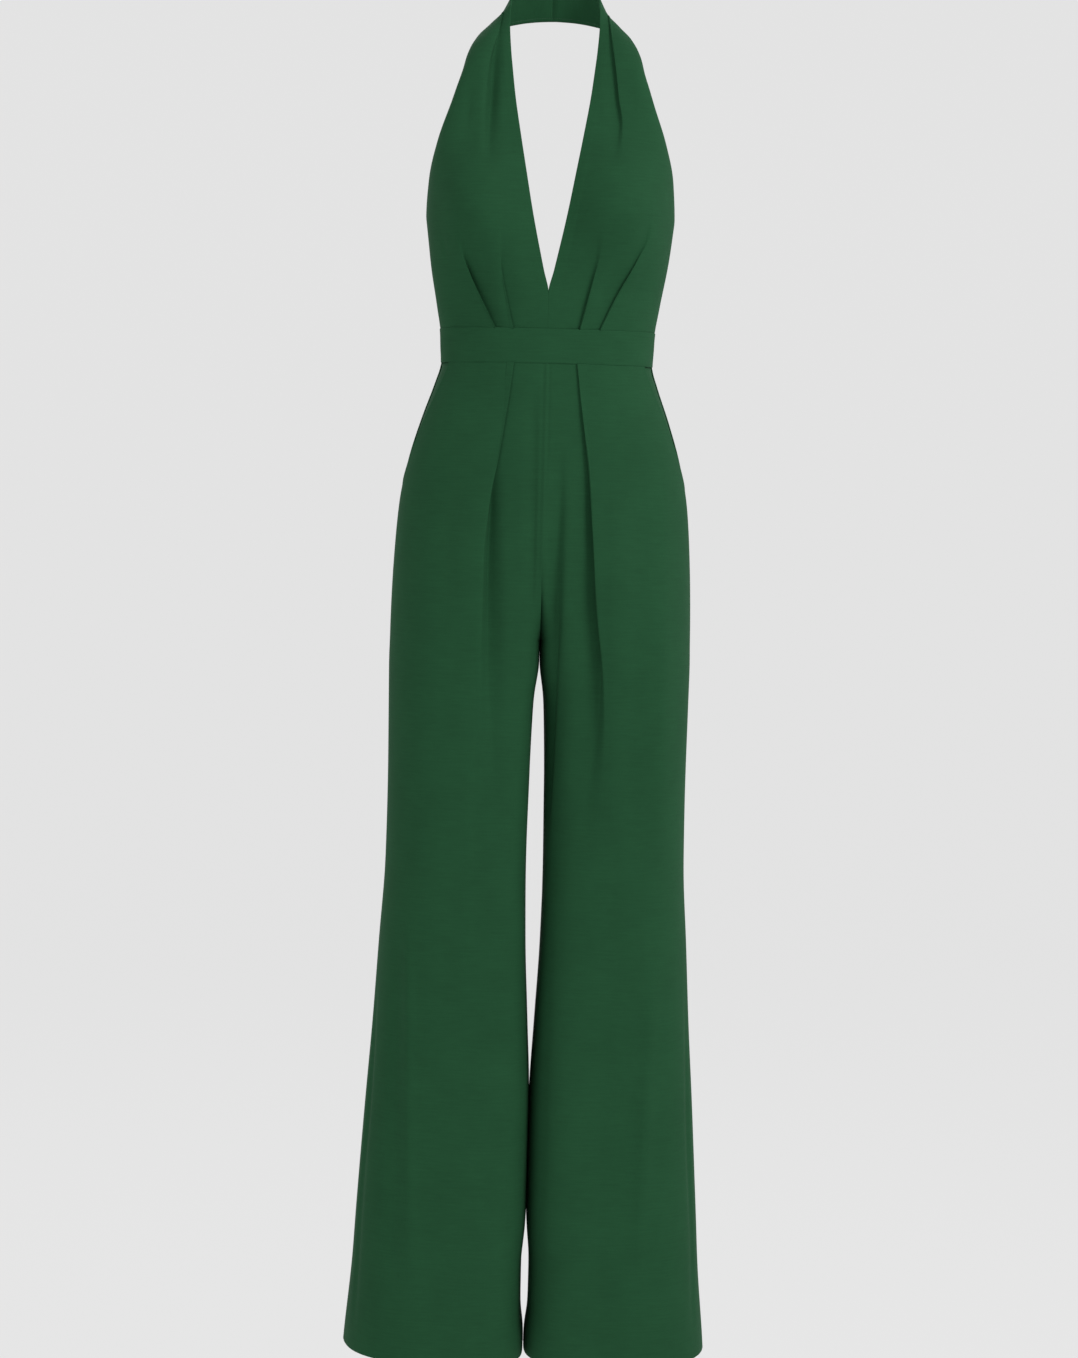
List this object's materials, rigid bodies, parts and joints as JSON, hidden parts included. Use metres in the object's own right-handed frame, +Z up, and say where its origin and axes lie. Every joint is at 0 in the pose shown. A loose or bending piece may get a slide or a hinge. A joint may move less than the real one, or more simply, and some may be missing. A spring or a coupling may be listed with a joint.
{
  "type": "jumpsuit",
  "caption": "Sleeveless halter-neck jumpsuit in plain green crepe with a deep V front, low back, waistband, pleated slant-pocket trousers and wide legs, filled out as worn.",
  "frame": {"origin": "the nape: the point on the inner face of the neckband, halfway up it at the centre back, where the garment hangs from the wearer's neck", "axes": "+Z up, +X to the wearer's left, +Y to the back, so the front faces -Y"},
  "size_m": [0.412, 0.2225, 1.5444],
  "materials": {
    "crepe": "matte crepe",
    "zip_tape": "matte woven tape",
    "zip_enamel": "enamelled to match the cloth"
  },
  "bodies": {
    "garment": {"neckband_left": "crepe", "neckband_right": "crepe", "bodice_front_left": "crepe", "bodice_front_right": "crepe", "bodice_back_left": "crepe", "bodice_back_right": "crepe", "waistband_back_left": "crepe", "waistband_back_right": "crepe", "leg_front_left": "crepe", "leg_front_right": "crepe", "leg_back_left": "crepe", "leg_back_right": "crepe", "pocket_facing_left": "crepe", "pocket_facing_right": "crepe", "waistband_front": "crepe", "zip_tape": "zip_tape", "zip_slider": "zip_enamel"},
    "zip_pull": {"zip_pull": "zip_enamel"}
  },
  "joints": [
    {"name": "zip_pull_swing", "type": "hinge", "parent": "garment", "child": "zip_pull", "pos_m": [0, -0.00497, -0.349], "axis": [1, 0, 0], "range_deg": [0, 150]}
  ]
}
